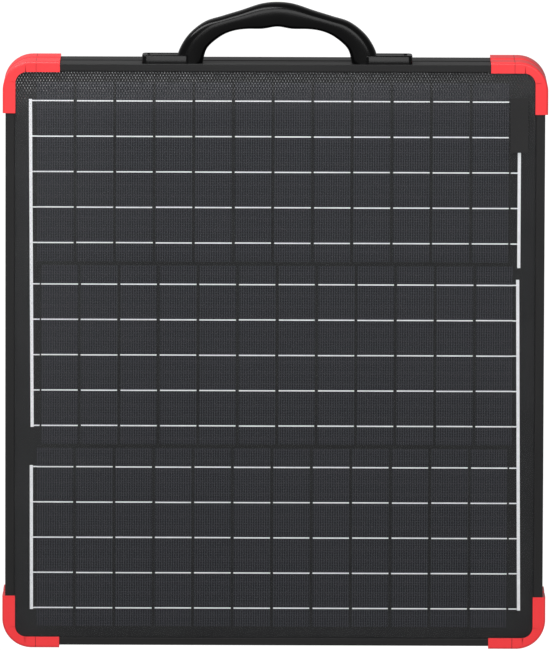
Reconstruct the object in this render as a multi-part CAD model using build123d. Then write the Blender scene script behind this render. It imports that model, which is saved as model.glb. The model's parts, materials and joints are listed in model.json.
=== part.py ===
from build123d import *
import os

# Solar suitcase kit: two framed solar panels that fold face-out on a pair of link hinges.
# Every panel piece is drawn lying flat: X across, Y up the panel, Z out from the plane
# where the two closed panels meet.  front() and back() stand it up in the shared frame.
# Shared frame: +Z up, the front panel faces -Y, origin under the middle of the closed case.

# ---- frame ----
FRAME_W = 475.0          # outer width of the aluminium frame
FRAME_H = 516.0          # outer height of the aluminium frame
FRAME_R = 23.5           # outer corner radius of the frame line
RAIL_REAR = 1.5          # rear face of the rails, from the meeting plane
RAIL_FRONT = 35.0        # front face of the rails
REAR_CHAMFER = 3.0       # bevel that lets the two panels roll past each other
WEB = 2.0                # outer wall of the rail
LIP_SIDE = 8.0           # front lip width, side rails
LIP_END = 6.4            # front lip width, top and bottom rails
LIP_T = 1.8              # front lip thickness
SHELF_W = 10.0           # ledge the laminate lies on
SHELF_REAR = 27.5
SHELF_FRONT = 29.0
FLANGE_W = 14.0          # rear flange width
FLANGE_T = 2.5

# ---- red corner caps ----
CAP_PROUD = 2.5          # how far the caps stand outside the frame
CAP_SKIN = 1.0           # cap thickness over the front and rear faces
CAP_R = 26.0             # outer corner radius
CAP_LIP = 11.2           # cap face width
CAP_INNER_R = 10.0
CAP_ARM_X = 50.3         # cap length along the top and bottom rails
CAP_ARM_Y = 46.2         # cap length along the side rails
ELBOW = 28.5             # length of the moulded elbow between the rail ends
CASE_W = FRAME_W + 2 * CAP_PROUD
CASE_H = FRAME_H + 2 * CAP_PROUD
MID_Y = CASE_H / 2
KEY_T = 3.0              # corner key that ties two rails together
KEY_ARM = 50.0

# ---- laminate ----
BOARD_INSET = 3.0        # board edge, in from the frame outer face
BOARD_T = 2.4
CELL_T = 0.6
RIBBON_T = 0.3
STRIPS = 12              # cell strips in a row
STRIP_PITCH = 34.85
STRIP_W = 32.4
CELL_H = 158.75
ROW_PITCH = 162.4
ROW_SHIFT = 2.0          # rows step left and right by this much
RIBBONS = 5              # ribbons on each row
RIBBON_PITCH = 31.4
RIBBON_W = 1.1
BUS_X = 214.9            # centre line of the bus ribbons
BUS_W = 2.8
BUS_TAIL = 20            # upper right bus, down past its last ribbon
BUS_HEAD = 3.6           # lower right bus, up past its first ribbon
CELL_BACK = SHELF_FRONT + BOARD_T
RIBBON_BACK = CELL_BACK + CELL_T
FILM_BACK = RIBBON_BACK + RIBBON_T
FILM_FRONT = RAIL_FRONT - LIP_T

# ---- link hinge ----
HINGE_X = 150.0          # hinge centre, each side of the middle
PIVOT_Y = 8.0            # pivot height above the underside
PIVOT_Z = 8.5            # pivot distance from the meeting plane
PIN_R = 3.0
PIN_L = 37.0
BORE_PLAY = 0.05
LINK_W = 23.4
LINK_R = 5.0
NOTCH_W = 40.0           # notch in the bottom rail
LUG_T = 5.0
LUG_R = 5.5
LUG_X = 15.5             # lug centre, each side of the hinge centre

# ---- screws (one size, M4 x 8) ----
SCREW_R = 2.0
SCREW_L = 8.0
HEAD_R = 3.6
HEAD_H = 2.5

# ---- fold-out stand ----
STAND_Y = 455.0          # stand pivot height
STAND_Z = 12.0
STAND_L = 250.0          # pivot to crossbar
ARM_X = 218.0            # inner face of the stand arm
ARM_T = 3.0
ARM_R = 7.0
STUD_R = 4.0
CROSSBAR_R = 5.0

# ---- junction box ----
JBOX_W = 104.0
JBOX_H = 64.0
JBOX_Y = 457.0
JBOX_REAR = 12.0
WALL = 2.0
GLAND_R = 6.0
LEAD_R = 3.0
LEAD_Z = 20.0

# ---- charge controller ----
CTRL_W = 132.0
CTRL_H = 72.0
CTRL_Y = 366.0
CTRL_REAR = 9.0
WINDOW_W = 52.0
WINDOW_H = 26.0
WINDOW_X = -20.0
BUTTON_X = (26.0, 46.0)
BUTTON_R = 3.8
BUTTON_HOLE_R = 4.2
TERMINAL_W = 88.0
TERMINAL_H = 12.0

# ---- carry handle ----
HANDLE_REAR = 6.5
HANDLE_FRONT = 29.5
HANDLE_ROUND = 5.0
HANDLE_X = 1.5           # the handle sits a touch off centre
GRIP_TOP = [(88.5, 0), (86.5, 11), (78, 24.8), (64, 36), (48, 41.3), (31.5, 46.4), (14.5, 52), (0, 53.6)]
GRIP_UNDER = [(65.5, 0), (63, 10.5), (58, 17.2), (48, 24.6), (38, 28.5), (27, 30), (13, 30.2), (0, 32.1)]
FOOT_INNER = 77.0
FOOT_OUTER = 119.0
FOOT_H = 7.5
HANDLE_SCREW_X = (93.0, 110.0)

# ---- closure ----
CATCH_X = 150.0
CATCH_W = 30.0
CATCH_H = 8.0


def block(x0, x1, y0, y1, z0, z1):
    centre = ((x0 + x1) / 2, (y0 + y1) / 2, (z0 + z1) / 2)
    return Pos(*centre) * Box(abs(x1 - x0), abs(y1 - y0), abs(z1 - z0))


def slab(width, height, z0, z1, radius):
    outline = Pos(0, MID_Y, z0) * RectangleRounded(width, height, radius)
    return extrude(outline, amount=z1 - z0)


def inset(side, end, z0, z1, radius):
    return slab(FRAME_W - 2 * side, FRAME_H - 2 * end, z0, z1, radius)


def rod(x0, x1, y, z, radius):
    length = x1 - x0
    return Pos((x0 + x1) / 2, y, z) * Rot(0, 90, 0) * Cylinder(radius, length)


def peg(x, y, z0, z1, radius):
    return Pos(x, y, (z0 + z1) / 2) * Cylinder(radius, z1 - z0)


def both_sides(piece):
    return [piece, mirror(piece, about=Plane.YZ)]


def front(piece):
    return Rot(90, 0, 0) * piece


def back(piece):
    return Rot(0, 0, 180) * front(piece)


# ---------------------------------------------------------------- frame
def frame_envelope():
    solid = slab(FRAME_W, FRAME_H, RAIL_REAR, RAIL_FRONT, FRAME_R)
    rear_edges = solid.faces().sort_by(Axis.Z)[0].edges()
    return chamfer(rear_edges, REAR_CHAMFER)


def frame_ring():
    tray_rear = RAIL_REAR + FLANGE_T
    ring = frame_envelope()
    ring -= inset(LIP_SIDE, LIP_END, FILM_FRONT, RAIL_FRONT, CAP_INNER_R)
    ring -= inset(WEB, WEB, SHELF_FRONT, FILM_FRONT, FRAME_R - WEB)
    ring -= inset(SHELF_W, SHELF_W, SHELF_REAR, SHELF_FRONT, CAP_INNER_R)
    ring -= inset(WEB, WEB, tray_rear, SHELF_REAR, FRAME_R - WEB)
    ring -= inset(FLANGE_W, FLANGE_W, RAIL_REAR, tray_rear, CAP_INNER_R)
    return ring


def hinge_notch():
    x0 = HINGE_X - NOTCH_W / 2
    x1 = HINGE_X + NOTCH_W / 2
    return block(x0, x1, 0, 17, 0, PIVOT_Z + LUG_R + 0.5)


def screw_shanks(points, y0, y1):
    return [Pos(x, (y0 + y1) / 2, z) * Rot(90, 0, 0) * Cylinder(SCREW_R, y1 - y0) for x, z in points]


def handle_screw_points():
    return [(HANDLE_X + side * x, 18.0) for side in (-1, 1) for x in HANDLE_SCREW_X]


def hinge_screw_points():
    return [(side * HINGE_X + step, 21.0) for side in (-1, 1) for step in (-8, 8)]


def end_rail(ring, top):
    half = CASE_W / 2 - ELBOW
    y0 = CASE_H - ELBOW if top else 0
    return ring & block(-half, half, y0, y0 + ELBOW, 0, 40)


def bottom_rail(ring):
    rail = end_rail(ring, False)
    for notch in both_sides(hinge_notch()):
        rail -= notch
    for hole in screw_shanks(hinge_screw_points(), 0, 10):
        rail -= hole
    return rail


def front_top_rail(ring):
    rail = end_rail(ring, True)
    for hole in screw_shanks(handle_screw_points(), CASE_H - 10, CASE_H):
        rail -= hole
    for slot in both_sides(magnet()):
        rail -= slot
    return rail


def side_rail(ring, side):
    outer = side * CASE_W / 2
    inner = side * (CASE_W / 2 - ELBOW)
    return ring & block(inner, outer, ELBOW, CASE_H - ELBOW, 0, 40)


def corner_box(side, top, arm_x, arm_y):
    outer_x = side * CASE_W / 2
    inner_x = outer_x - side * arm_x
    outer_y = CASE_H if top else 0
    inner_y = CASE_H - arm_y if top else arm_y
    return block(inner_x, outer_x, inner_y, outer_y, 0, 40)


def cap_shell():
    shell = slab(CASE_W, CASE_H, RAIL_REAR - CAP_SKIN, RAIL_FRONT + CAP_SKIN, CAP_R)
    shell = fillet(shell.faces().sort_by(Axis.Z)[0].edges(), PIVOT_Y)
    shell = fillet(shell.faces().sort_by(Axis.Z)[-1].edges(), 2.0)
    shell -= frame_envelope()
    shell -= slab(CASE_W - 2 * CAP_LIP, CASE_H - 2 * CAP_LIP + 3.0, 0, 40, CAP_INNER_R)
    return shell


def corner_cap(shell, ring, side, top):
    cover = shell & corner_box(side, top, CAP_ARM_X, CAP_ARM_Y)
    elbow = ring & corner_box(side, top, ELBOW, ELBOW)
    return cover + elbow


def corner_keys():
    strip = inset(WEB, WEB, 6, 24, FRAME_R - WEB)
    strip -= inset(WEB + KEY_T, WEB + KEY_T, 6, 24, FRAME_R - WEB - KEY_T)
    corners = [(side, top) for side in (-1, 1) for top in (False, True)]
    return [strip & corner_box(side, top, KEY_ARM, KEY_ARM) for side, top in corners]


# ---------------------------------------------------------------- laminate
def backboard():
    return inset(BOARD_INSET, BOARD_INSET, SHELF_FRONT, CELL_BACK, FRAME_R - BOARD_INSET)


def cover_film():
    return inset(BOARD_INSET, BOARD_INSET, FILM_BACK, FILM_FRONT, FRAME_R - BOARD_INSET)


def row_centre(row):
    shift = -ROW_SHIFT if row % 2 == 0 else ROW_SHIFT
    return shift, MID_Y + (1 - row) * ROW_PITCH


def cell_strips():
    strips = []
    for row in range(3):
        x, y = row_centre(row)
        for column in range(STRIPS):
            cx = x + (column - (STRIPS - 1) / 2) * STRIP_PITCH
            y0 = y - CELL_H / 2
            y1 = y + CELL_H / 2
            strips.append(block(cx - STRIP_W / 2, cx + STRIP_W / 2, y0, y1, CELL_BACK, RIBBON_BACK))
    return strips


def bus(side, first_row, last_row, head=0, tail=0):
    reach = (RIBBONS - 1) / 2 * RIBBON_PITCH + BUS_W / 2
    y1 = row_centre(first_row)[1] + reach + head
    y0 = row_centre(last_row)[1] - reach - tail
    x = side * BUS_X
    return block(x - BUS_W / 2, x + BUS_W / 2, y0, y1, RIBBON_BACK, FILM_BACK)


def ribbons():
    net = bus(-1, 0, 1) + bus(-1, 2, 2)
    net += bus(1, 0, 0, tail=BUS_TAIL) + bus(1, 1, 2, head=BUS_HEAD)
    for row in range(3):
        y = row_centre(row)[1]
        for number in range(RIBBONS):
            line = y + (number - (RIBBONS - 1) / 2) * RIBBON_PITCH
            y0 = line - RIBBON_W / 2
            y1 = line + RIBBON_W / 2
            net += block(-BUS_X, BUS_X, y0, y1, RIBBON_BACK, FILM_BACK)
    return net


def label():
    return block(207, 222.5, 441, 489.5, FILM_FRONT, FILM_FRONT + 0.2)


# ---------------------------------------------------------------- hinge
def hinge_bracket():
    z1 = SHELF_REAR - 0.5
    y0 = CAP_PROUD + WEB
    y1 = y0 + SCREW_L - WEB
    base_z = PIVOT_Z + LUG_R + 1
    bracket = block(HINGE_X - 18, HINGE_X + 18, y0, y1, base_z, z1)
    for side in (-1, 1):
        x = HINGE_X + side * LUG_X
        bracket += block(x - LUG_T / 2, x + LUG_T / 2, y0, PIVOT_Y + LUG_R, PIVOT_Z, z1)
        bracket += rod(x - LUG_T / 2, x + LUG_T / 2, PIVOT_Y, PIVOT_Z, LUG_R)
        bracket -= rod(x - LUG_T, x + LUG_T, PIVOT_Y, PIVOT_Z, PIN_R + BORE_PLAY)
    for hole in screw_shanks(hinge_screw_points(), 0, 20):
        bracket -= hole
    return bracket


def link_pins():
    x0 = HINGE_X - PIN_L / 2
    x1 = HINGE_X + PIN_L / 2
    pin = rod(x0, x1, PIVOT_Y, PIVOT_Z, PIN_R)
    return both_sides(pin)


def hinge_link():
    x0 = HINGE_X - LINK_W / 2
    x1 = HINGE_X + LINK_W / 2
    link = block(x0, x1, PIVOT_Y - LINK_R, PIVOT_Y + LINK_R, -PIVOT_Z, PIVOT_Z)
    for z in (-PIVOT_Z, PIVOT_Z):
        link += rod(x0, x1, PIVOT_Y, z, LINK_R)
        link -= rod(x0, x1, PIVOT_Y, z, PIN_R)
    return link


# ---------------------------------------------------------------- screws
def screw(x, y, z, up):
    step = 1 if up else -1
    head = Pos(x, y - step * HEAD_H / 2, z) * Rot(90, 0, 0) * Cylinder(HEAD_R, HEAD_H)
    shank = Pos(x, y + step * SCREW_L / 2, z) * Rot(90, 0, 0) * Cylinder(SCREW_R, SCREW_L)
    slot = block(x - 2.5, x + 2.5, y - step * HEAD_H, y - step * (HEAD_H - 1), z - 0.5, z + 0.5)
    return head + shank - slot


def hinge_screws():
    y = CAP_PROUD + SCREW_L
    return [screw(x, y, z, False) for x, z in hinge_screw_points()]


def handle_screws():
    y = CASE_H - CAP_PROUD - WEB
    return [screw(x, y, z, True) for x, z in handle_screw_points()]


# ---------------------------------------------------------------- fold-out stand
def stand_arm(side):
    x0 = side * ARM_X
    x1 = side * (ARM_X + ARM_T)
    y0 = STAND_Y - STAND_L
    arm = block(x0, x1, y0, STAND_Y, STAND_Z - ARM_R, STAND_Z + ARM_R)
    for y in (y0, STAND_Y):
        arm += rod(min(x0, x1), max(x0, x1), y, STAND_Z, ARM_R)
    arm -= rod(min(x0, x1), max(x0, x1), STAND_Y, STAND_Z, STUD_R + BORE_PLAY)
    return arm


def stand_crossbar():
    return rod(-ARM_X, ARM_X, STAND_Y - STAND_L, STAND_Z, CROSSBAR_R)


def stand_sleeve():
    y = STAND_Y - STAND_L
    return rod(150, 185, y, STAND_Z, ARM_R) - rod(150, 185, y, STAND_Z, CROSSBAR_R)


def stand_stud():
    wall = FRAME_W / 2 - WEB
    shoulder = ARM_X + ARM_T + 0.4
    stud = rod(wall - 2, wall, STAND_Y, STAND_Z, 8.0)
    stud += rod(shoulder, wall - 2, STAND_Y, STAND_Z, 5.5)
    stud += rod(ARM_X - 0.4, shoulder, STAND_Y, STAND_Z, STUD_R)
    stud += rod(ARM_X - 2.4, ARM_X - 0.4, STAND_Y, STAND_Z, 6.5)
    return stud


# ---------------------------------------------------------------- junction box
def jbox_base():
    half_w = JBOX_W / 2
    y0 = JBOX_Y - JBOX_H / 2
    y1 = JBOX_Y + JBOX_H / 2
    box = block(-half_w, half_w, y0, y1, JBOX_REAR, SHELF_FRONT)
    hollow = block(-half_w + WALL, half_w - WALL, y0 + WALL, y1 - WALL, JBOX_REAR, SHELF_FRONT - WALL)
    gland = rod(half_w, half_w + 10, JBOX_Y, LEAD_Z, GLAND_R)
    bore = rod(half_w - WALL, half_w + 10, JBOX_Y, LEAD_Z, LEAD_R)
    return box - hollow + gland - bore


def jbox_lid():
    half_w = JBOX_W / 2
    half_h = JBOX_H / 2
    fit = WALL + 0.3
    plate = block(-half_w, half_w, JBOX_Y - half_h, JBOX_Y + half_h, JBOX_REAR - 2.2, JBOX_REAR)
    plate = fillet(plate.faces().sort_by(Axis.Z)[0].edges(), 1.0)
    outer = block(-half_w + fit, half_w - fit, JBOX_Y - half_h + fit, JBOX_Y + half_h - fit, JBOX_REAR, JBOX_REAR + 3)
    fit += 1.5
    inner = block(-half_w + fit, half_w - fit, JBOX_Y - half_h + fit, JBOX_Y + half_h - fit, JBOX_REAR, JBOX_REAR + 3)
    return plate + (outer - inner)


# ---------------------------------------------------------------- charge controller
def ctrl_block(margin, z0, z1):
    half_w = CTRL_W / 2 - margin
    half_h = CTRL_H / 2 - margin
    return block(-half_w, half_w, CTRL_Y - half_h, CTRL_Y + half_h, z0, z1)


def ctrl_case():
    case = ctrl_block(0, CTRL_REAR, SHELF_FRONT)
    case -= ctrl_block(WALL, CTRL_REAR, SHELF_FRONT - WALL)
    ledge = block(-CTRL_W / 2 + WALL, -CTRL_W / 2 + WALL + 4, CTRL_Y - 30, CTRL_Y + 30, 21.6, SHELF_FRONT - WALL)
    for side_ledge in both_sides(ledge):
        case += side_ledge
    return case


def ctrl_pcb():
    return ctrl_block(WALL + 2, 20.0, 21.6)


def window_opening(z0, z1):
    y0 = CTRL_Y - WINDOW_H / 2
    x0 = WINDOW_X - WINDOW_W / 2
    return block(x0, x0 + WINDOW_W, y0, y0 + WINDOW_H, z0, z1)


def ctrl_face():
    face = ctrl_block(0, CTRL_REAR - 2, CTRL_REAR)
    face = fillet(face.faces().sort_by(Axis.Z)[0].edges(), 1.0)
    face -= window_opening(CTRL_REAR - 2, CTRL_REAR)
    for x in BUTTON_X:
        face -= peg(x, CTRL_Y, CTRL_REAR - 2, CTRL_REAR, BUTTON_HOLE_R)
    return face


def ctrl_window():
    return window_opening(CTRL_REAR - 1.6, CTRL_REAR)


def ctrl_button(x):
    cap = peg(x, CTRL_Y, CTRL_REAR - 3.4, CTRL_REAR + 2.4, BUTTON_R)
    cap = fillet(cap.faces().sort_by(Axis.Z)[0].edges(), 0.6)
    return cap + peg(x, CTRL_Y, CTRL_REAR + 0.4, CTRL_REAR + 1.4, 5.0)


def ctrl_terminals():
    y1 = CTRL_Y - CTRL_H / 2
    row = block(-TERMINAL_W / 2, TERMINAL_W / 2, y1 - TERMINAL_H, y1, 14, 26)
    for number in range(6):
        x = (number - 2.5) * 14
        row -= Pos(x, y1 - TERMINAL_H + 3, LEAD_Z) * Rot(90, 0, 0) * Cylinder(LEAD_R, 6)
        row -= peg(x, y1 - TERMINAL_H / 2 - 0.5, 14, 15.5, 2.4)
    return row


# ---------------------------------------------------------------- lead from box to controller
def lead():
    x0 = JBOX_W / 2 - WALL
    x1 = 35.0
    y1 = CTRL_Y - CTRL_H / 2 - TERMINAL_H + 6
    corners = [(x0, JBOX_Y, LEAD_Z), (96, JBOX_Y, LEAD_Z), (96, 296, LEAD_Z), (x1, 296, LEAD_Z), (x1, y1, LEAD_Z)]
    path = FilletPolyline(*corners, radius=12)
    return sweep(Plane(origin=path @ 0, z_dir=path % 0) * Circle(LEAD_R), path=path)


def lead_clips():
    clips = []
    for y in (330, 420):
        clip = block(89, 103, y - 5, y + 5, LEAD_Z - 5, SHELF_FRONT)
        clip -= Pos(96, y, LEAD_Z) * Rot(90, 0, 0) * Cylinder(LEAD_R, 10)
        clips.append(clip)
    return clips


# ---------------------------------------------------------------- closure
def magnet():
    y1 = CASE_H - CAP_PROUD - 3.5
    return block(CATCH_X - CATCH_W / 2, CATCH_X + CATCH_W / 2, y1 - CATCH_H, y1, 0.45, 6.5)


def strike():
    y1 = CASE_H - CAP_PROUD - 3.5
    return block(CATCH_X - CATCH_W / 2, CATCH_X + CATCH_W / 2, y1 - CATCH_H, y1, 0.45, RAIL_REAR)


# ---------------------------------------------------------------- carry handle
def grip_section(top, under, side):
    base = CASE_H - CAP_PROUD
    middle = Vector(side * (top[0] + under[0]) / 2, base + (top[1] + under[1]) / 2, 0)
    across = Vector(side * (top[0] - under[0]), top[1] - under[1], 0)
    depth = HANDLE_FRONT - HANDLE_REAR
    centre = middle + Vector(0, 0, (HANDLE_FRONT + HANDLE_REAR) / 2)
    plane = Plane(origin=centre, x_dir=across, z_dir=across.cross(Vector(0, 0, 1)))
    return plane * RectangleRounded(across.length, depth, HANDLE_ROUND)


def handle_grip():
    pairs = list(zip(GRIP_TOP, GRIP_UNDER))
    left = [grip_section(top, under, -1) for top, under in pairs]
    right = [grip_section(top, under, 1) for top, under in reversed(pairs[:-1])]
    return loft(left + right)


def handle_foot():
    base = CASE_H - CAP_PROUD
    foot = block(FOOT_INNER, FOOT_OUTER, base, base + FOOT_H, HANDLE_REAR - 1, HANDLE_FRONT + 1)
    foot = fillet(foot.edges().filter_by(Axis.Y), 4.0)
    foot = fillet(foot.faces().sort_by(Axis.Y)[-1].edges(), 1.2)
    pocket = block(90, 115, base + FOOT_H - 1.5, base + FOOT_H, 11, 25)
    return foot - fillet(pocket.edges().filter_by(Axis.Y), 3.0)


def handle():
    body = handle_grip()
    for foot in both_sides(handle_foot()):
        body += foot
    body = Pos(HANDLE_X, 0, 0) * body
    for hole in screw_shanks(handle_screw_points(), CASE_H - 10, CASE_H - CAP_PROUD + SCREW_L - WEB):
        body -= hole
    return body


# ---------------------------------------------------------------- assembly
def panel_parts(side_name, ring, shell):
    parts = {}
    for side, name in ((-1, "left"), (1, "right")):
        parts["rail_" + name] = side_rail(ring, side)
        parts["cap_top_" + name] = corner_cap(shell, ring, side, True)
        parts["cap_bottom_" + name] = corner_cap(shell, ring, side, False)
        parts["stand_arm_" + name] = stand_arm(side)
    parts["rail_top"] = front_top_rail(ring) if side_name == "front" else end_rail(ring, True)
    parts["rail_bottom"] = bottom_rail(ring)
    parts["corner_keys"] = corner_keys()
    parts["backboard"] = backboard()
    parts["cell_strips"] = cell_strips()
    parts["ribbons"] = ribbons()
    parts["cover_film"] = cover_film()
    parts["hinge_brackets"] = both_sides(hinge_bracket())
    parts["stand_crossbar"] = stand_crossbar()
    parts["stand_sleeves"] = both_sides(stand_sleeve())
    parts["stand_studs"] = both_sides(stand_stud())
    parts["jbox_base"] = jbox_base()
    parts["jbox_lid"] = jbox_lid()
    return parts


def front_only_parts():
    return {
        "front_label": label(),
        "front_screws": hinge_screws() + handle_screws(),
        "front_magnets": both_sides(magnet()),
        "carry_handle": handle(),
        "ctrl_case": ctrl_case(),
        "ctrl_pcb": ctrl_pcb(),
        "ctrl_face": ctrl_face(),
        "ctrl_window": ctrl_window(),
        "ctrl_button_menu": ctrl_button(BUTTON_X[0]),
        "ctrl_button_load": ctrl_button(BUTTON_X[1]),
        "ctrl_terminals": ctrl_terminals(),
        "front_lead": lead(),
        "front_lead_clips": lead_clips(),
    }


def hinge_parts():
    near = link_pins()
    far = [mirror(pin, about=Plane.XY) for pin in near]
    return {"hinge_links": both_sides(hinge_link()), "hinge_pins": near + far}


def save(name, piece, place):
    pieces = piece if isinstance(piece, list) else [piece]
    placed = [place(item) for item in pieces]
    shape = placed[0] if len(placed) == 1 else Compound(children=placed)
    export_step(shape, os.path.join("parts", name + ".step"))


def main():
    os.makedirs("parts", exist_ok=True)
    ring = frame_ring()
    shell = cap_shell()
    for name, piece in panel_parts("front", ring, shell).items():
        save("front_" + name, piece, front)
    for name, piece in panel_parts("back", ring, shell).items():
        save("back_" + name, piece, back)
    save("back_screws", hinge_screws(), back)
    save("back_strikes", both_sides(strike()), back)
    for name, piece in {**front_only_parts(), **hinge_parts()}.items():
        save(name, piece, front)


main()
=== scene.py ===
import itertools
import json
import math
import random

import bmesh
import bpy
from mathutils import Matrix, Vector


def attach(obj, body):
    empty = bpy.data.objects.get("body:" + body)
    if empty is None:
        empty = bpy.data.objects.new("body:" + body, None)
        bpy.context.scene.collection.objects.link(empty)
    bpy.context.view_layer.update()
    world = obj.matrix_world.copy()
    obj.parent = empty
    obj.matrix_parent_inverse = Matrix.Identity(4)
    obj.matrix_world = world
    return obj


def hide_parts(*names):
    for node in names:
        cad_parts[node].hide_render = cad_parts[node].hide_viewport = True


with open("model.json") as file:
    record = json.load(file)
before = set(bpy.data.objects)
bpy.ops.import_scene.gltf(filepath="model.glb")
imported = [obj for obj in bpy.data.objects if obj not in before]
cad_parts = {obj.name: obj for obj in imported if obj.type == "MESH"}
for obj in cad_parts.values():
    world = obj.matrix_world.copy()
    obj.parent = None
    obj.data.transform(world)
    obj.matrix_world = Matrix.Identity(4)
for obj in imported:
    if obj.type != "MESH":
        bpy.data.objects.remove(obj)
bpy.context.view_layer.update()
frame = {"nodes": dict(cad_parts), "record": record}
NODES = frame["nodes"]
RNG = random.Random(11)
MM = 0.001

# ---- light ----
AMBIENT = 0.27              # light from above the horizon
FROM_BELOW = 0.46           # light from under the horizon, as a pale table sends up
BACKDROP = 1.08             # the world as the lens sees it

# ---- camera, in metres and degrees ----
CAMERA_RISE = 6.8
CAMERA_ROLL = 0.19
CAMERA_DISTANCE = 11.0
SEEN_HEIGHT = 0.5739
CAMERA_AIM = (0.0007, -0.035, 0.28740)

# ---- painted glints on the film's dots, from 0 to 1 ----
GLINT_TOP = 0.55              # how strongly the painted glints show near the top edge
GLINT_LEFT = 0.10             # and along the left edge
GLINT_ALL = 0.012             # and everywhere

# ---- sizes shared with the CAD source, in millimetres ----
CASE_H = 521.0
MID_Z = CASE_H / 2
ROW_PITCH = 162.4
ROW_SHIFT = 2.0
STRIPS = 12
STRIP_PITCH = 34.85
STRIP_W = 32.4
CELL_H = 158.75
RIBBONS = 5
RIBBON_PITCH = 31.4
RIBBON_W = 1.1
BUS_X = 214.9
BUS_W = 2.8
BUS_TAIL = 20.0             # upper right bus, down past its last ribbon
BUS_HEAD = 3.6              # lower right bus, up past its first ribbon
CELL_BACK = 31.45
CELL_FACE = 31.95
RIBBON_BACK = 31.97
RIBBON_FACE = 32.24

# ---- sizes of the drawn finish and of the painted glints, in millimetres ----
GLINT_HALF_WIDTH = 237.0           # half the width over which the painted glints fade
GLINT_FADE_LOW = 470.0        # the painted glints near the top begin at this height
GLINT_FADE_HIGH = 514.0       # and are at their strongest here
DOT_ACROSS = 2.565
DOT_UP = 4.6
FINGER_PITCH = 2.11
CROSS_PITCH = 2.26
BAND_PITCH = 9.8
SEAM_X = 210.6              # joint line of the corner caps, from the middle
SEAM_HALF = 0.28
RIBBON_LEFT = 16.05         # how far a ribbon length reaches either side of its strip's middle
RIBBON_RIGHT = 15.95


# ------------------------------------------------------------------ node helpers
class Graph:
    """A small wrapper that makes a material's node graph readable."""

    def __init__(self, name):
        self.mat = bpy.data.materials.new(name)
        self.mat.use_nodes = True
        self.tree = self.mat.node_tree
        self.tree.nodes.clear()
        self.out = self.add("ShaderNodeOutputMaterial")
        self.coord = self.add("ShaderNodeTexCoord").outputs["Object"]

    def add(self, kind, **props):
        node = self.tree.nodes.new(kind)
        for key, value in props.items():
            setattr(node, key, value)
        return node

    def link(self, source, target):
        self.tree.links.new(source, target)

    def math(self, op, a, b=None):
        node = self.add("ShaderNodeMath", operation=op)
        for socket, value in zip(node.inputs, (a, b)):
            if value is None:
                continue
            if isinstance(value, (int, float)):
                socket.default_value = value
            else:
                self.link(value, socket)
        return node.outputs[0]

    def noise(self, scale, detail=3.0, rough=0.5, stretch=(1, 1, 1)):
        mapping = self.add("ShaderNodeMapping")
        mapping.inputs["Scale"].default_value = stretch
        self.link(self.coord, mapping.inputs["Vector"])
        node = self.add("ShaderNodeTexNoise")
        node.inputs["Scale"].default_value = scale
        node.inputs["Detail"].default_value = detail
        node.inputs["Roughness"].default_value = rough
        self.link(mapping.outputs[0], node.inputs["Vector"])
        return node.outputs["Fac"]

    def wave(self, value, pitch):
        """A smooth 0 to 1 wave along one coordinate."""
        swing = self.math("COSINE", self.math("MULTIPLY", value, 2 * math.pi / pitch))
        return self.span(swing, 0.0, 1.0, -1.0, 1.0)

    def span(self, value, low, high, from_low=0.0, from_high=1.0):
        node = self.add("ShaderNodeMapRange")
        self.link(value, node.inputs["Value"])
        node.inputs["From Min"].default_value = from_low
        node.inputs["From Max"].default_value = from_high
        node.inputs["To Min"].default_value = low
        node.inputs["To Max"].default_value = high
        return node.outputs[0]

    def colours(self, value, stops):
        node = self.add("ShaderNodeValToRGB")
        ramp = node.color_ramp
        while len(ramp.elements) < len(stops):
            ramp.elements.new(0.5)
        for element, (place, colour) in zip(ramp.elements, stops):
            element.position = place
            element.color = (*colour, 1)
        self.link(value, node.inputs[0])
        return node.outputs[0]

    def blend(self, factor, a, b):
        node = self.add("ShaderNodeMix", data_type="RGBA")
        for socket, value in ((node.inputs[0], factor), (node.inputs[6], a), (node.inputs[7], b)):
            if isinstance(value, (int, float)):
                socket.default_value = value
            elif isinstance(value, tuple):
                socket.default_value = (*value, 1)
            else:
                self.link(value, socket)
        return node.outputs[2]

    def bump(self, height, strength, distance, normal=None):
        node = self.add("ShaderNodeBump")
        node.inputs["Strength"].default_value = strength
        node.inputs["Distance"].default_value = distance
        self.link(height, node.inputs["Height"])
        if normal is not None:
            self.link(normal, node.inputs["Normal"])
        return node.outputs[0]

    def principled(self, colour, rough, metallic=0.0, specular=0.5, normal=None):
        node = self.add("ShaderNodeBsdfPrincipled")
        for name, value in (("Base Color", colour), ("Roughness", rough), ("Metallic", metallic),
                            ("Specular IOR Level", specular)):
            if isinstance(value, tuple):
                node.inputs[name].default_value = (*value, 1)
            elif isinstance(value, (int, float)):
                node.inputs[name].default_value = value
            else:
                self.link(value, node.inputs[name])
        if normal is not None:
            self.link(normal, node.inputs["Normal"])
        self.link(node.outputs[0], self.out.inputs[0])
        return node


def plastic(name, dark, light, rough=(0.35, 0.5), grain=1400.0, specular=0.45, strength=0.35):
    g = Graph(name)
    cloud = g.noise(22, 4)
    grit = g.noise(grain, 2, 0.6)
    colour = g.colours(cloud, [(0.3, dark), (0.7, light)])
    g.principled(colour, g.span(g.noise(60, 3), *rough), specular=specular,
                 normal=g.bump(grit, strength, 0.00006))
    return g.mat


def metal(name, dark, light, rough=(0.28, 0.45), stretch=(1, 1, 1), grain=500.0):
    g = Graph(name)
    lines = g.noise(grain, 3, 0.6, stretch)
    cloud = g.noise(14, 4)
    base = g.colours(cloud, [(0.3, dark), (0.7, light)])
    colour = g.blend(g.span(lines, 0.0, 0.35), base, tuple(0.6 * c for c in dark))
    g.principled(colour, g.span(lines, *rough), metallic=1.0, normal=g.bump(lines, 0.12, 0.00004))
    return g.mat


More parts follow.
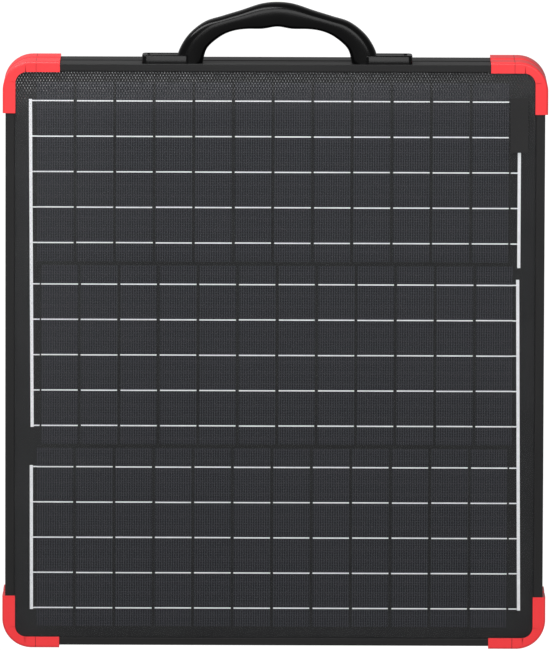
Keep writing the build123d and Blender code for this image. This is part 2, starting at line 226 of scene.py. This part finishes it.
def anodised(name, stretch):
    g = Graph(name)
    lines = g.noise(700, 3, 0.65, stretch)
    cloud = g.noise(9, 5)
    base = g.colours(cloud, [(0.25, (0.0108, 0.0108, 0.0110)), (0.75, (0.0152, 0.0152, 0.0155))])
    colour = g.blend(g.span(lines, 0.0, 0.5), base, (0.026, 0.026, 0.0265))
    g.principled(colour, g.span(cloud, 0.34, 0.46), specular=0.16, normal=g.bump(lines, 0.10, 0.00004))
    return g.mat


def red_cap():
    g = Graph("red_cap")
    cloud = g.noise(16, 4)
    grit = g.noise(1500, 2, 0.6)
    flow = g.noise(40, 2, 0.5, (1, 1, 0.3))
    colour = g.colours(cloud, [(0.25, (0.95, 0.040, 0.046)), (0.75, (0.99, 0.052, 0.059))])
    split = g.add("ShaderNodeSeparateXYZ")
    g.link(g.coord, split.inputs[0])
    from_seam = g.math("ABSOLUTE", g.math("SUBTRACT", g.math("ABSOLUTE", split.outputs["X"]), SEAM_X * MM))
    seam = g.math("LESS_THAN", from_seam, SEAM_HALF * MM)
    colour = g.blend(g.math("MULTIPLY", seam, 0.72), colour, (0.10, 0.004, 0.005))
    g.principled(colour, g.span(flow, 0.26, 0.38), specular=0.30, normal=g.bump(grit, 0.22, 0.00005))
    return g.mat


def handle_black():
    g = Graph("handle_black")
    cloud = g.noise(18, 4)
    grit = g.noise(1100, 3, 0.6)
    colour = g.colours(cloud, [(0.3, (0.0014, 0.0014, 0.0015)), (0.7, (0.0026, 0.0026, 0.0027))])
    g.principled(colour, g.span(cloud, 0.16, 0.24), specular=0.16, normal=g.bump(grit, 0.25, 0.00006))
    return g.mat


def cell_silicon():
    """Dark bluish silicon with fine upright fingers; each strip has its own tint."""
    g = Graph("cell_silicon")
    split = g.add("ShaderNodeSeparateXYZ")
    g.link(g.coord, split.inputs[0])
    x, z = split.outputs["X"], split.outputs["Z"]
    finger = g.wave(x, FINGER_PITCH * MM)
    cross = g.wave(z, CROSS_PITCH * MM)
    band = g.math("POWER", g.wave(z, BAND_PITCH * MM), 6.0)
    tint = g.add("ShaderNodeAttribute", attribute_name="tint").outputs["Fac"]
    base = g.colours(tint, [(0.0, (0.0098, 0.0100, 0.0138)), (0.5, (0.0125, 0.0126, 0.0166)),
                            (1.0, (0.0156, 0.0152, 0.0198))])
    cloud = g.noise(45, 5, 0.6)
    base = g.blend(g.span(cloud, 0.0, 0.45, 0.35, 0.7), base, (0.0200, 0.0204, 0.0250))
    colour = g.blend(g.math("MULTIPLY", finger, 0.62), base, (0.060, 0.061, 0.068))
    colour = g.blend(g.math("MULTIPLY", g.math("SUBTRACT", 1.0, finger), 0.70), colour, (0.004, 0.004, 0.006))
    colour = g.blend(g.math("MULTIPLY", cross, 0.30), colour, (0.055, 0.056, 0.063))
    colour = g.blend(g.math("MULTIPLY", band, 0.14), colour, (0.055, 0.056, 0.063))
    g.principled(colour, g.span(cloud, 0.42, 0.58), specular=0.08)
    return g.mat


def ribbon_tin():
    g = Graph("ribbon_tin")
    wear = g.noise(260, 4, 0.6, (0.3, 1, 1))
    colour = g.colours(wear, [(0.3, (0.86, 0.86, 0.87)), (0.7, (0.97, 0.97, 0.97))])
    g.principled(colour, g.span(wear, 0.35, 0.6), specular=0.6, normal=g.bump(wear, 0.15, 0.00005))
    return g.mat


def dimples(g, split):
    """Height of the embossed dots: rows 2.3 mm apart, every other row moved half a step along."""
    across = g.math("COSINE", g.math("MULTIPLY", split.outputs["X"], 2 * math.pi / (DOT_ACROSS * MM)))
    along = g.math("COSINE", g.math("MULTIPLY", split.outputs["Z"], 2 * math.pi / (DOT_UP * MM)))
    return g.math("MULTIPLY", across, along)


def cover_film():
    """Clear film with embossed dots, with pale painted glints on the dots, strongest near the top and the left
    edge.
    """
    g = Graph("cover_film")
    split = g.add("ShaderNodeSeparateXYZ")
    g.link(g.coord, split.inputs[0])
    dots = dimples(g, split)
    normal = g.bump(g.span(dots, 0.0, 1.0, -1.0, 1.0), 1.0, 0.0003)
    normal = g.bump(g.noise(900, 2), 0.12, 0.00004, normal)
    fresnel = g.add("ShaderNodeFresnel")
    fresnel.inputs["IOR"].default_value = 1.40
    g.link(normal, fresnel.inputs["Normal"])
    clear = g.add("ShaderNodeBsdfTransparent")
    clear.inputs["Color"].default_value = (0.97, 0.975, 0.98, 1)
    gloss = g.add("ShaderNodeBsdfGlossy")
    gloss.inputs["Roughness"].default_value = 0.16
    g.link(normal, gloss.inputs["Normal"])
    mix = g.add("ShaderNodeMixShader")
    g.link(g.math("MULTIPLY", fresnel.outputs[0], 0.22), mix.inputs[0])
    g.link(clear.outputs[0], mix.inputs[1])
    g.link(gloss.outputs[0], mix.inputs[2])
    # Painted glints: how strongly pale spots show on the dots. They fade in towards the top edge and weaken to
    # the right, some show along the left edge, and a faint share shows everywhere.
    glint_near_top = g.math("POWER", g.span(split.outputs["Z"], 0.0, 1.0, GLINT_FADE_LOW * MM, GLINT_FADE_HIGH * MM), 1.3)
    glint_rightward = g.span(split.outputs["X"], 1.0, 0.45, -GLINT_HALF_WIDTH * MM, GLINT_HALF_WIDTH * MM)
    glint_near_left = g.math("MULTIPLY", g.span(split.outputs["X"], 1.0, 0.0, -GLINT_HALF_WIDTH * MM, -0.10),
                       g.span(split.outputs["Z"], 0.25, 1.0, 0.0, 0.5))
    reach = g.math("ADD", g.math("MULTIPLY", g.math("MULTIPLY", glint_near_top, glint_rightward), GLINT_TOP),
                   g.math("ADD", g.math("MULTIPLY", glint_near_left, GLINT_LEFT), GLINT_ALL))
    glint_spot = g.math("POWER", g.span(dots, 0.0, 1.0, 0.30, 1.0), 2.0)
    glint_unevenness = g.span(g.noise(260, 2), 0.5, 1.3, 0.3, 0.7)
    glint_amount = g.math("MULTIPLY", g.math("MULTIPLY", glint_spot, reach), glint_unevenness)
    # Pale diffuse colour that paints the glints.
    painted_glint = g.add("ShaderNodeBsdfDiffuse")
    painted_glint.inputs["Color"].default_value = (0.80, 0.81, 0.82, 1)
    glint_mix = g.add("ShaderNodeMixShader")
    g.link(glint_amount, glint_mix.inputs[0])
    g.link(mix.outputs[0], glint_mix.inputs[1])
    g.link(painted_glint.outputs[0], glint_mix.inputs[2])
    g.link(glint_mix.outputs[0], g.out.inputs[0])
    return g.mat


def window_glass():
    g = Graph("display_window")
    haze = g.noise(30, 3)
    gloss = g.add("ShaderNodeBsdfGlossy")
    g.link(g.span(haze, 0.04, 0.10), gloss.inputs["Roughness"])
    clear = g.add("ShaderNodeBsdfTransparent")
    clear.inputs["Color"].default_value = (0.45, 0.52, 0.55, 1)
    mix = g.add("ShaderNodeMixShader")
    mix.inputs[0].default_value = 0.10
    g.link(clear.outputs[0], mix.inputs[1])
    g.link(gloss.outputs[0], mix.inputs[2])
    g.link(mix.outputs[0], g.out.inputs[0])
    return g.mat


MATS = {
    "black_frame": anodised("black_frame", (0.02, 1, 1)),
    "black_frame_upright": anodised("black_frame_upright", (1, 1, 0.02)),
    "red_cap": red_cap(),
    "handle_black": handle_black(),
    "backboard_black": plastic("backboard_black", (0.0160, 0.0160, 0.0165),
                               (0.0210, 0.0210, 0.0215), (0.5, 0.7), 700, specular=0.08),
    "cell_silicon": cell_silicon(),
    "ribbon_tin": ribbon_tin(),
    "cover_film": cover_film(),
    "label_black": plastic("label_black", (0.024, 0.024, 0.0245), (0.029, 0.029, 0.0295),
                           (0.45, 0.6), specular=0.10),
    "bare_aluminium": metal("bare_aluminium", (0.52, 0.53, 0.54), (0.66, 0.67, 0.68), stretch=(1, 1, 0.03)),
    "steel": metal("steel", (0.42, 0.42, 0.43), (0.58, 0.58, 0.59), (0.25, 0.4), grain=900),
    "magnet_nickel": metal("magnet_nickel", (0.60, 0.59, 0.56), (0.72, 0.71, 0.68), (0.12, 0.25)),
    "rubber_black": plastic("rubber_black", (0.010, 0.010, 0.010), (0.018, 0.018, 0.018), (0.6, 0.8), 1800),
    "box_black": plastic("box_black", (0.012, 0.012, 0.013), (0.020, 0.020, 0.021), (0.45, 0.6),
                         1600, strength=0.5),
    "controller_grey": plastic("controller_grey", (0.045, 0.050, 0.056), (0.060, 0.066, 0.072),
                               (0.45, 0.6), 1600),
    "controller_face": plastic("controller_face", (0.15, 0.165, 0.18), (0.18, 0.195, 0.21),
                               (0.4, 0.55), 1800),
    "display_window": window_glass(),
    "button_orange": plastic("button_orange", (0.62, 0.17, 0.02), (0.72, 0.22, 0.03), (0.4, 0.55), 1800),
    "terminal_green": plastic("terminal_green", (0.02, 0.22, 0.07), (0.03, 0.28, 0.09), (0.3, 0.4)),
    "circuit_board": plastic("circuit_board", (0.012, 0.13, 0.045), (0.02, 0.18, 0.06), (0.3, 0.4), 300),
}


# ------------------------------------------------------------------ CAD nodes: soft edges and finish
def soften(obj, width):
    weld = obj.modifiers.new("weld", "WELD")
    weld.merge_threshold = 0.00001
    bevel = obj.modifiers.new("edges", "BEVEL")
    bevel.width = width
    bevel.segments = 2
    bevel.limit_method = "ANGLE"
    bevel.angle_limit = math.radians(38)
    bevel.use_clamp_overlap = True
    bevel.harden_normals = False


def paint(obj, mat):
    obj.data.materials.clear()
    obj.data.materials.append(mat)


SLOT_OF = {row["node"]: row["material_slot"] for row in frame["record"]["subparts"]}
EDGE_MM = {"black_frame": 0.6, "red_cap": 0.45, "handle_black": 0.5, "bare_aluminium": 0.3, "steel": 0.2,
           "box_black": 0.5, "controller_grey": 0.8, "magnet_nickel": 0.3, "terminal_green": 0.3}
for node_name, node in NODES.items():
    slot_name = SLOT_OF[node_name]
    upright = "rail_left" in node_name or "rail_right" in node_name
    paint(node, MATS["black_frame_upright" if upright else slot_name])
    if slot_name in EDGE_MM:
        soften(node, EDGE_MM[slot_name] * MM)


# ------------------------------------------------------------------ drawn pieces
def to_row(point, back):
    """From a panel's own flat frame (across, up, out), in mm, to the row frame in metres."""
    x, up, out = point
    if back:
        return Vector((-x, out, up)) * MM
    return Vector((x, -out, up)) * MM


def new_piece(name, bm, mat, body, replaced):
    mesh = bpy.data.meshes.new(name)
    bmesh.ops.recalc_face_normals(bm, faces=bm.faces)
    bm.to_mesh(mesh)
    bm.free()
    obj = bpy.data.objects.new(name, mesh)
    bpy.context.scene.collection.objects.link(obj)
    mesh.materials.append(mat)
    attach(obj, body)
    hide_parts(*replaced)
    return obj


BLOCK_FACES = ((0, 1, 3, 2), (4, 6, 7, 5), (0, 4, 5, 1), (2, 3, 7, 6), (0, 2, 6, 4), (1, 5, 7, 3))


def add_block(bm, lows, highs, back):
    verts = [bm.verts.new(to_row(corner, back)) for corner in itertools.product(*zip(lows, highs))]
    faces = []
    for quad in BLOCK_FACES:
        faces.append(bm.faces.new([verts[i] for i in quad]))
    return faces


def row_centre(row):
    return (-ROW_SHIFT if row % 2 == 0 else ROW_SHIFT), MID_Z + (1 - row) * ROW_PITCH


def draw_cells(panel, back):
    bm = bmesh.new()
    layer = bm.faces.layers.float.new("tint")
    for row in range(3):
        cx, cz = row_centre(row)
        for column in range(STRIPS):
            x = cx + (column - (STRIPS - 1) / 2) * STRIP_PITCH + RNG.uniform(-0.12, 0.12)
            tint = min(1.0, max(0.0, RNG.gauss(0.5, 0.25)))
            half = STRIP_W / 2
            skew = RNG.uniform(-0.15, 0.15)
            low = (x - half, cz - CELL_H / 2 + skew, CELL_BACK)
            high = (x + half, cz + CELL_H / 2 + skew, CELL_FACE)
            for face in add_block(bm, low, high, back):
                face[layer] = tint
    new_piece(panel + "_cells_visual", bm, MATS["cell_silicon"], panel + "_panel",
              [panel + "_cell_strips"])


def ribbon_span(bm, x0, x1, z, back):
    """One straight ribbon length, a little off its line."""
    z0 = z + RNG.uniform(-0.10, 0.10)
    half = RIBBON_W / 2
    add_block(bm, (x0, z0 - half, RIBBON_BACK), (x1, z0 + half, RIBBON_FACE), back)


# each bus: its side, the rows it joins, how far its upper and lower ends lie off the straight line,
# and how far it runs on past its first and last ribbons
BUSES = ((-1, 0, 1, -0.7, 1.1, 0, 0), (-1, 2, 2, 0.4, 0.6, 0, 0),
         (1, 0, 0, 0.0, 0.0, 0, BUS_TAIL), (1, 1, 2, -0.9, 1.5, BUS_HEAD, 0))


def add_bus(bm, x_low, x_top, low, top, back):
    """An upright ribbon that may lean: x_low and x_top are its middle at either end."""
    half = BUS_W / 2
    verts = []
    for out in (RIBBON_BACK, RIBBON_FACE + 0.02):
        for x, up in ((x_low, low), (x_top, top)):
            verts += [bm.verts.new(to_row((x + step, up, out), back)) for step in (-half, half)]
    for quad in BLOCK_FACES:
        bm.faces.new([verts[i] for i in quad])


def draw_ribbons(panel, back):
    bm = bmesh.new()
    for row in range(3):
        cx, cz = row_centre(row)
        for number in range(RIBBONS):
            z = cz + (number - (RIBBONS - 1) / 2) * RIBBON_PITCH
            for column in range(STRIPS):
                mid = cx + (column - (STRIPS - 1) / 2) * STRIP_PITCH
                x0 = mid - RIBBON_LEFT + RNG.uniform(-0.3, 0.3)
                x1 = mid + RIBBON_RIGHT + RNG.uniform(-0.3, 0.3)
                ribbon_span(bm, x0, x1, z, back)
            left_end = cx - STRIPS / 2 * STRIP_PITCH
            right_end = cx + STRIPS / 2 * STRIP_PITCH
            ribbon_span(bm, -BUS_X, left_end - 0.2 if row == 1 else left_end + 1.5, z, back)
            ribbon_span(bm, right_end - 1.5 if row == 1 else right_end + 0.4, BUS_X, z, back)
    reach = (RIBBONS - 1) / 2 * RIBBON_PITCH + BUS_W / 2
    for side, first, last, lean_top, lean_low, head, tail in BUSES:
        top = row_centre(first)[1] + reach + head
        bottom = row_centre(last)[1] - reach - tail
        add_bus(bm, side * BUS_X + lean_low, side * BUS_X + lean_top, bottom, top, back)
    new_piece(panel + "_ribbons_visual", bm, MATS["ribbon_tin"], panel + "_panel",
              [panel + "_ribbons"])


for panel_name, is_back in (("front", False), ("back", True)):
    draw_cells(panel_name, is_back)
    draw_ribbons(panel_name, is_back)


# ------------------------------------------------------------------ carry handle
GRIP_TOP = [(88.5, 0), (86.5, 11), (78, 24.8), (64, 36), (48, 41.3), (31.5, 46.4), (14.5, 52), (0, 53.6)]
GRIP_UNDER = [(65.5, 0), (63, 10.5), (58, 17.2), (48, 24.6), (38, 28.5), (27, 30), (13, 30.2), (0, 32.1)]
HANDLE_BASE = 518.5
HANDLE_X = 1.5
HANDLE_MID = 18.0
HANDLE_HALF = 11.5
FOOT_INNER = 77.0
FOOT_OUTER = 119.0
FOOT_BACK = 5.5
FOOT_FRONT = 30.5
SMOOTH_STEPS = 6


def catmull(points, steps):
    """A smooth line through the points, as many samples a span as steps."""
    out = []
    for i in range(len(points) - 1):
        p0 = points[max(i - 1, 0)]
        p1, p2 = points[i], points[i + 1]
        p3 = points[min(i + 2, len(points) - 1)]
        for k in range(steps):
            t = k / steps
            out.append(tuple(0.5 * (2 * b + (c - a) * t + (2 * a - 5 * b + 4 * c - d) * t * t
                                    + (3 * b - a - 3 * c + d) * t ** 3)
                             for a, b, c, d in zip(p0, p1, p2, p3)))
    out.append(points[-1])
    return out


def mirrored(points):
    return [(-x, z) for x, z in points] + [(x, z) for x, z in reversed(points[:-1])]


def draw_grip(bm):
    top = catmull(mirrored(GRIP_TOP), SMOOTH_STEPS)
    under = catmull(mirrored(GRIP_UNDER), SMOOTH_STEPS)
    rings = []
    around = 40
    for (tx, tz), (ux, uz) in zip(top, under):
        ring = []
        for k in range(around):
            angle = 2 * math.pi * k / around
            c, s = math.cos(angle), math.sin(angle)
            along = math.copysign(abs(s) ** 0.62, s)
            deep = math.copysign(abs(c) ** 0.62, c)
            share = (along + 1) / 2
            x = ux + (tx - ux) * share
            z = uz + (tz - uz) * share
            point = (HANDLE_X + x, HANDLE_BASE + z, HANDLE_MID + deep * HANDLE_HALF)
            ring.append(bm.verts.new(to_row(point, False)))
        rings.append(ring)
    for a, b in zip(rings, rings[1:]):
        for k in range(around):
            n = (k + 1) % around
            bm.faces.new((a[k], a[n], b[n], b[k]))
    bm.faces.new(rings[0])
    bm.faces.new(list(reversed(rings[-1])))


def round_rect(x0, x1, y0, y1, radius, steps=6):
    points = []
    for cx, cy, start in ((x1 - radius, y1 - radius, 0), (x0 + radius, y1 - radius, 90),
                          (x0 + radius, y0 + radius, 180), (x1 - radius, y0 + radius, 270)):
        for k in range(steps + 1):
            angle = math.radians(start + 90 * k / steps)
            points.append((cx + radius * math.cos(angle), cy + radius * math.sin(angle)))
    return points


def draw_foot(bm, side):
    """Pad with a rounded top edge and a shallow pocket."""
    inner, outer = sorted((side * FOOT_INNER, side * FOOT_OUTER))
    levels = [(0.0, 0.0, 4.0), (6.4, 0.0, 4.0), (7.1, 0.35, 3.8), (7.5, 1.1, 3.2)]
    pocket = [(7.5, 4.2, 3.4), (7.2, 4.6, 3.0), (5.6, 4.9, 2.8)]
    rings = []
    for height, inset, radius in levels + pocket:
        outline = round_rect(inner + inset, outer - inset, FOOT_BACK + inset, FOOT_FRONT - inset, radius)
        points = [(HANDLE_X + x, HANDLE_BASE + height, out) for x, out in outline]
        rings.append([bm.verts.new(to_row(point, False)) for point in points])
    for a, b in zip(rings, rings[1:]):
        for k in range(len(a)):
            n = (k + 1) % len(a)
            bm.faces.new((a[k], a[n], b[n], b[k]))
    bm.faces.new(rings[0])
    bm.faces.new(rings[-1])


def draw_handle():
    bm = bmesh.new()
    draw_grip(bm)
    for side in (-1, 1):
        draw_foot(bm, side)
    obj = new_piece("carry_handle_visual", bm, MATS["handle_black"], "front_panel",
                    ["carry_handle"])
    obj.data.shade_smooth()
    obj.data.set_sharp_from_angle(angle=math.radians(40))


draw_handle()


# ------------------------------------------------------------------ light and camera
def area_light(name, place, target, size, power):
    data = bpy.data.lights.new(name, "AREA")
    data.shape = "RECTANGLE"
    data.size, data.size_y = size
    data.energy = power
    obj = bpy.data.objects.new(name, data)
    obj.location = place
    obj.rotation_euler = (Vector(target) - Vector(place)).to_track_quat("-Z", "Y").to_euler()
    bpy.context.scene.collection.objects.link(obj)


def draw_world():
    """White to the lens, and dimmer as a light. No floor, since the open case reaches below its feet."""
    world = bpy.data.worlds.new("studio")
    bpy.context.scene.world = world
    world.use_nodes = True
    tree = world.node_tree
    seen = tree.nodes["Background"]
    seen.inputs[0].default_value = (1, 1, 1, 1)
    seen.inputs[1].default_value = BACKDROP
    lighting = tree.nodes.new("ShaderNodeBackground")
    lighting.inputs[0].default_value = (1, 1, 1, 1)
    direction = tree.nodes.new("ShaderNodeTexCoord").outputs["Generated"]
    split = tree.nodes.new("ShaderNodeSeparateXYZ")
    tree.links.new(direction, split.inputs[0])
    rise = tree.nodes.new("ShaderNodeMapRange")
    for name, value in (("From Min", -0.06), ("From Max", 0.02), ("To Min", FROM_BELOW), ("To Max", AMBIENT)):
        rise.inputs[name].default_value = value
    tree.links.new(split.outputs["Z"], rise.inputs["Value"])
    tree.links.new(rise.outputs[0], lighting.inputs[1])
    rays = tree.nodes.new("ShaderNodeLightPath")
    mix = tree.nodes.new("ShaderNodeMixShader")
    tree.links.new(rays.outputs["Is Camera Ray"], mix.inputs[0])
    tree.links.new(lighting.outputs[0], mix.inputs[1])
    tree.links.new(seen.outputs[0], mix.inputs[2])
    tree.links.new(mix.outputs[0], tree.nodes["World Output"].inputs[0])


def draw_camera():
    elevation = math.radians(CAMERA_RISE)
    data = bpy.data.cameras.new("camera")
    data.sensor_fit = "VERTICAL"
    data.sensor_height = 36
    data.lens = data.sensor_height * CAMERA_DISTANCE / SEEN_HEIGHT
    data.clip_end = 200
    obj = bpy.data.objects.new("camera", data)
    offset = Vector((0, -math.cos(elevation), math.sin(elevation))) * CAMERA_DISTANCE
    obj.location = Vector(CAMERA_AIM) + offset
    look = (-offset).to_track_quat("-Z", "Y").to_matrix().to_4x4()
    obj.rotation_euler = (look @ Matrix.Rotation(math.radians(CAMERA_ROLL), 4, "Z")).to_euler()
    bpy.context.scene.collection.objects.link(obj)
    bpy.context.scene.camera = obj


draw_world()
area_light("key_top", (-0.45, -0.38, 1.30), (0, 0, 0.42), (1.4, 0.30), 13)
area_light("front_fill", (0.4, -4.5, 1.8), (0, 0, 0.25), (3.0, 2.0), 98)
draw_camera()
scene = bpy.context.scene
scene.view_settings.view_transform = "Standard"
scene.view_settings.look = "None"
scene.view_settings.exposure = 0.0
